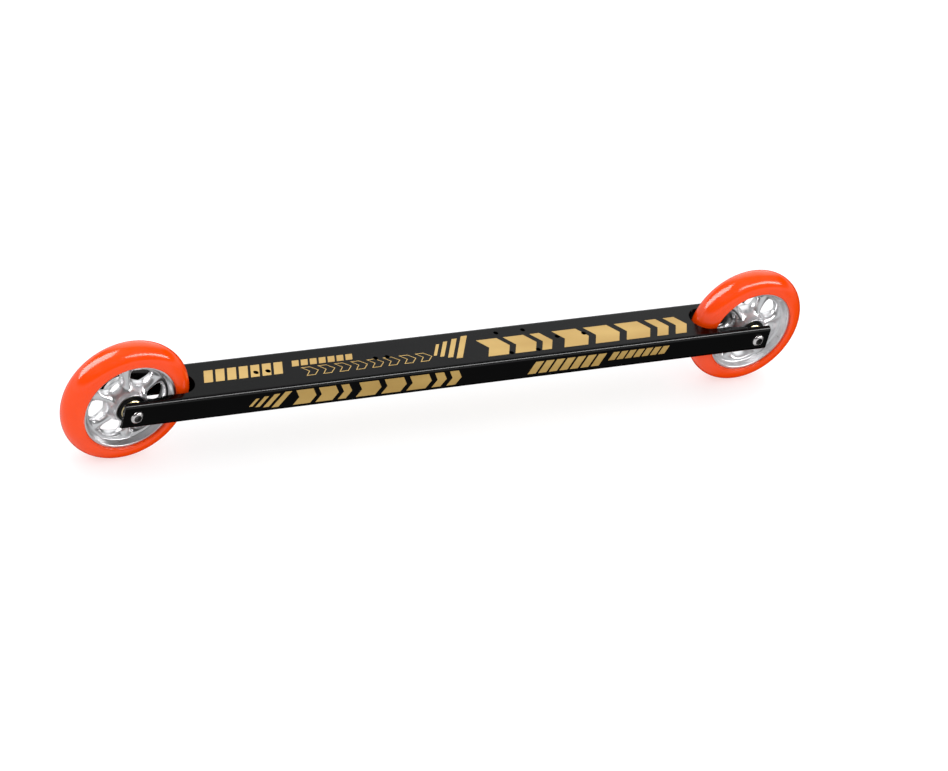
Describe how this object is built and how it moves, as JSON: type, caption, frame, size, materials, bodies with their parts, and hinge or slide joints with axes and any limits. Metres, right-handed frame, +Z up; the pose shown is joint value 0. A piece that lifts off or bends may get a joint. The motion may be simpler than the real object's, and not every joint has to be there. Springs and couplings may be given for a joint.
{
  "type": "skating roller ski",
  "caption": "Skating roller ski: hollow black beam forked at both ends round a soft orange wheel that runs on sealed ball bearings, with drilled binding holes on top.",
  "frame": {"origin": "on the ground, midway between the two wheels, on the centre plane", "axes": "+X towards the ski's front, +Y to the skier's left along the axles, +Z up"},
  "size_m": [0.644, 0.0484, 0.1],
  "materials": {
    "black_anodised": "satin black anodised extrusion",
    "orange_urethane": "glossy cast polyurethane",
    "polished_alloy": "mirror polished",
    "plain_alloy": "turned",
    "gold_anodised": "gold anodised, turned",
    "bearing_steel": "ground",
    "black_steel": "black oxide",
    "ball_steel": "polished",
    "screw_steel": "bright zinc plated",
    "black_seal": "moulded rubber",
    "cage_polymer": "moulded"
  },
  "bodies": {
    "frame": {"frame_beam": "black_anodised", "rear_axle": "bearing_steel", "rear_centre_spacer": "plain_alloy", "rear_left_inner_ring": "bearing_steel", "rear_left_dust_spacer": "gold_anodised", "rear_left_axle_screw": "screw_steel", "rear_right_inner_ring": "bearing_steel", "rear_right_dust_spacer": "gold_anodised", "rear_right_axle_screw": "screw_steel", "front_axle": "bearing_steel", "front_centre_spacer": "plain_alloy", "front_left_inner_ring": "bearing_steel", "front_left_dust_spacer": "gold_anodised", "front_left_axle_screw": "screw_steel", "front_right_inner_ring": "bearing_steel", "front_right_dust_spacer": "gold_anodised", "front_right_axle_screw": "screw_steel"},
    "rear_wheel": {"rear_tyre": "orange_urethane", "rear_hub": "polished_alloy", "rear_left_outer_ring": "black_steel", "rear_left_outer_seal": "black_seal", "rear_left_inner_seal": "black_seal", "rear_right_outer_ring": "black_steel", "rear_right_outer_seal": "black_seal", "rear_right_inner_seal": "black_seal"},
    "rear_left_ball_set": {"rear_left_balls": "ball_steel", "rear_left_cage": "cage_polymer"},
    "rear_right_ball_set": {"rear_right_balls": "ball_steel", "rear_right_cage": "cage_polymer"},
    "front_wheel": {"front_tyre": "orange_urethane", "front_hub": "polished_alloy", "front_left_outer_ring": "black_steel", "front_left_outer_seal": "black_seal", "front_left_inner_seal": "black_seal", "front_right_outer_ring": "black_steel", "front_right_outer_seal": "black_seal", "front_right_inner_seal": "black_seal"},
    "front_left_ball_set": {"front_left_balls": "ball_steel", "front_left_cage": "cage_polymer"},
    "front_right_ball_set": {"front_right_balls": "ball_steel", "front_right_cage": "cage_polymer"}
  },
  "joints": [
    {"name": "rear_wheel_spin", "type": "hinge", "parent": "frame", "child": "rear_wheel", "pos_m": [-0.272, 0, 0.05], "axis": [0, 1, 0], "continuous": true},
    {"name": "rear_left_ball_set_spin", "type": "hinge", "parent": "frame", "child": "rear_left_ball_set", "pos_m": [-0.272, 0, 0.05], "axis": [0, 1, 0], "continuous": true},
    {"name": "rear_right_ball_set_spin", "type": "hinge", "parent": "frame", "child": "rear_right_ball_set", "pos_m": [-0.272, 0, 0.05], "axis": [0, 1, 0], "continuous": true},
    {"name": "front_wheel_spin", "type": "hinge", "parent": "frame", "child": "front_wheel", "pos_m": [0.272, 0, 0.05], "axis": [0, 1, 0], "continuous": true},
    {"name": "front_left_ball_set_spin", "type": "hinge", "parent": "frame", "child": "front_left_ball_set", "pos_m": [0.272, 0, 0.05], "axis": [0, 1, 0], "continuous": true},
    {"name": "front_right_ball_set_spin", "type": "hinge", "parent": "frame", "child": "front_right_ball_set", "pos_m": [0.272, 0, 0.05], "axis": [0, 1, 0], "continuous": true}
  ],
  "couplings": [
    {"joint": "rear_left_ball_set_spin", "follows": "rear_wheel_spin", "ratio": 0.6323},
    {"joint": "rear_right_ball_set_spin", "follows": "rear_wheel_spin", "ratio": 0.6323},
    {"joint": "front_left_ball_set_spin", "follows": "front_wheel_spin", "ratio": 0.6323},
    {"joint": "front_right_ball_set_spin", "follows": "front_wheel_spin", "ratio": 0.6323}
  ]
}
